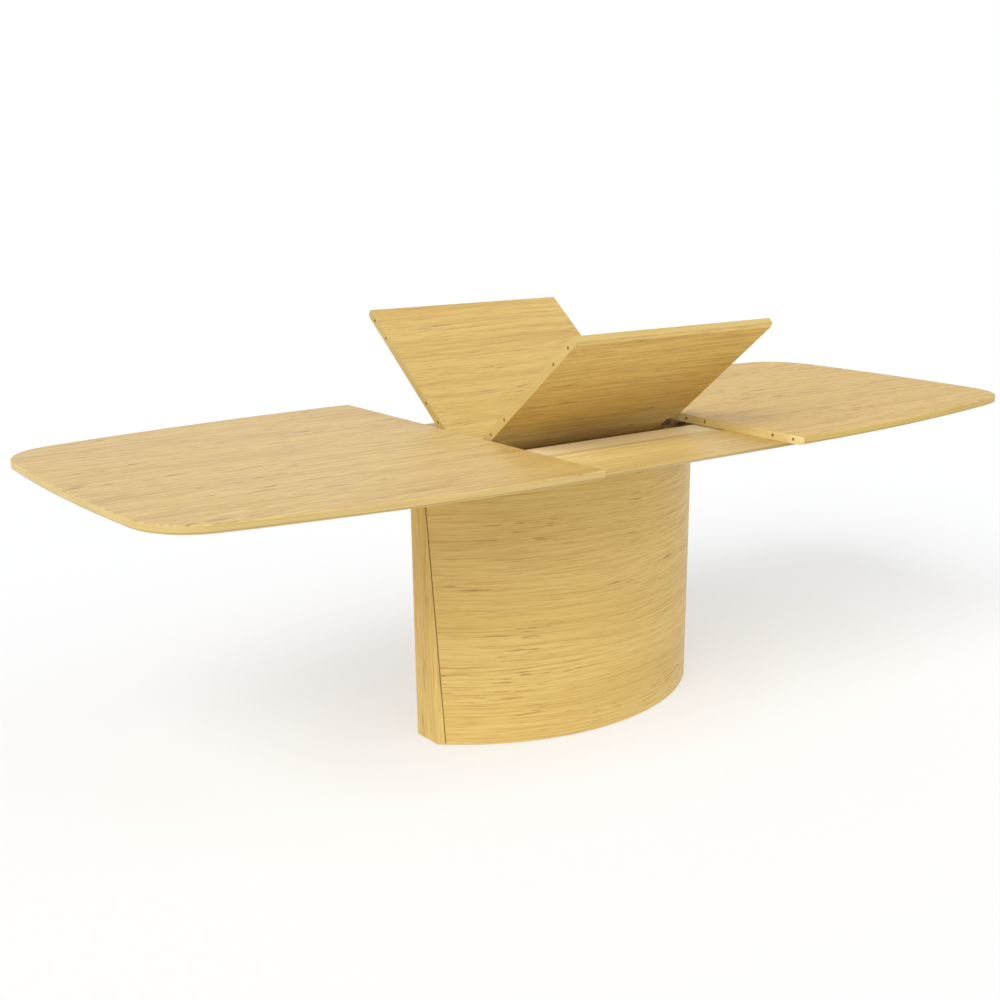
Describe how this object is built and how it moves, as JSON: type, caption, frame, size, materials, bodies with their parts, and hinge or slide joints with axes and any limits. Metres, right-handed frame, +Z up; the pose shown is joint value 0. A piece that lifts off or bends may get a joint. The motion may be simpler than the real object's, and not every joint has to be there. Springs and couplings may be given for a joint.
{
  "type": "butterfly leaf dining table",
  "caption": "Oak extending dining table on a curved plinth pedestal, its rounded top halves pulled apart and a folding butterfly leaf standing half open between them.",
  "frame": {"origin": "centre of the overall box at the floor, under the centre of the pedestal", "axes": "+X along the table's length, +Y from the side with the wide support board to the side where the leaf folds away, +Z up"},
  "size_m": [2.5538, 1.038, 1.0177],
  "materials": {
    "oak_top": "clear matt lacquer on oak veneer",
    "oak_pedestal": "clear matt lacquer on oak veneer",
    "oak_frame": "matt lacquered wood",
    "plain_beech": "sanded, thin matt lacquer",
    "beech_dowel": "turned, bare",
    "zinc_steel": "zinc plated",
    "hinge_steel": "satin plated",
    "nylon": "moulded black"
  },
  "bodies": {
    "base": {"front_shell": "oak_pedestal", "back_shell": "oak_pedestal", "right_end_board": "oak_pedestal", "left_end_board": "oak_pedestal", "right_end_post": "plain_beech", "left_end_post": "plain_beech", "pedestal_bottom_plate": "plain_beech", "pedestal_top_plate": "plain_beech", "right_bulkhead": "plain_beech", "left_bulkhead": "plain_beech", "levelling_feet": "nylon", "right_cross_beam": "oak_frame", "left_cross_beam": "oak_frame", "beam_bearers": "plain_beech", "frame_bolts": "zinc_steel", "front_support_board": "oak_top", "front_runner": "plain_beech", "right_rear_runner": "plain_beech", "left_rear_runner": "plain_beech", "glide_pads": "nylon", "rear_shelf": "plain_beech", "leaf_rest_blocks": "plain_beech", "pivot_plates": "zinc_steel", "pivot_pins": "zinc_steel", "slide_stop_blocks": "zinc_steel", "rack_guide": "nylon", "pinion_axle": "zinc_steel"},
    "left_half": {"left_top_panel": "oak_top", "left_dowel_pins": "beech_dowel", "left_front_slide": "zinc_steel", "left_rear_slide": "zinc_steel", "left_stop_pins": "zinc_steel", "left_batten": "plain_beech", "left_rack": "nylon"},
    "right_half": {"right_top_panel": "oak_top", "right_front_slide": "zinc_steel", "right_rear_slide": "zinc_steel", "right_stop_pins": "zinc_steel", "right_batten": "plain_beech", "right_rack": "nylon"},
    "pinion": {"pinion": "nylon"},
    "leaf_front": {"leaf_front_panel": "oak_top", "leaf_hinge_pins": "hinge_steel", "leaf_front_dowel_pins": "beech_dowel", "leaf_front_hinge_plates": "hinge_steel", "leaf_pivot_brackets": "zinc_steel"},
    "leaf_back": {"leaf_back_panel": "oak_top", "leaf_back_dowel_pins": "beech_dowel", "leaf_back_hinge_plates": "hinge_steel"}
  },
  "joints": [
    {"name": "left_half_slide", "type": "slide", "parent": "base", "child": "left_half", "axis": [1, 0, 0], "range_m": [0, 0.006]},
    {"name": "right_half_slide", "type": "slide", "parent": "base", "child": "right_half", "axis": [-1, 0, 0], "range_m": [0, 0.006]},
    {"name": "pinion_spin", "type": "hinge", "parent": "base", "child": "pinion", "pos_m": [0, -0.23329, 0.69], "axis": [0, 0, 1], "range_deg": [0, 25.5]},
    {"name": "leaf_swing", "type": "hinge", "parent": "base", "child": "leaf_front", "pos_m": [0, -0.09, 0.7244], "axis": [-1, 0, 0], "range_deg": [-39.9, 51.59]},
    {"name": "leaf_fold", "type": "hinge", "parent": "leaf_front", "child": "leaf_back", "pos_m": [0, -0.00444, 0.68642], "axis": [1, 0, 0], "range_deg": [-78.5, 101.5]}
  ],
  "couplings": [
    {"joint": "right_half_slide", "follows": "left_half_slide", "ratio": 1},
    {"joint": "pinion_spin", "follows": "left_half_slide", "rad_per_m": 74.074},
    {"joint": "leaf_fold", "follows": "leaf_swing", "ratio": 1.9674}
  ]
}
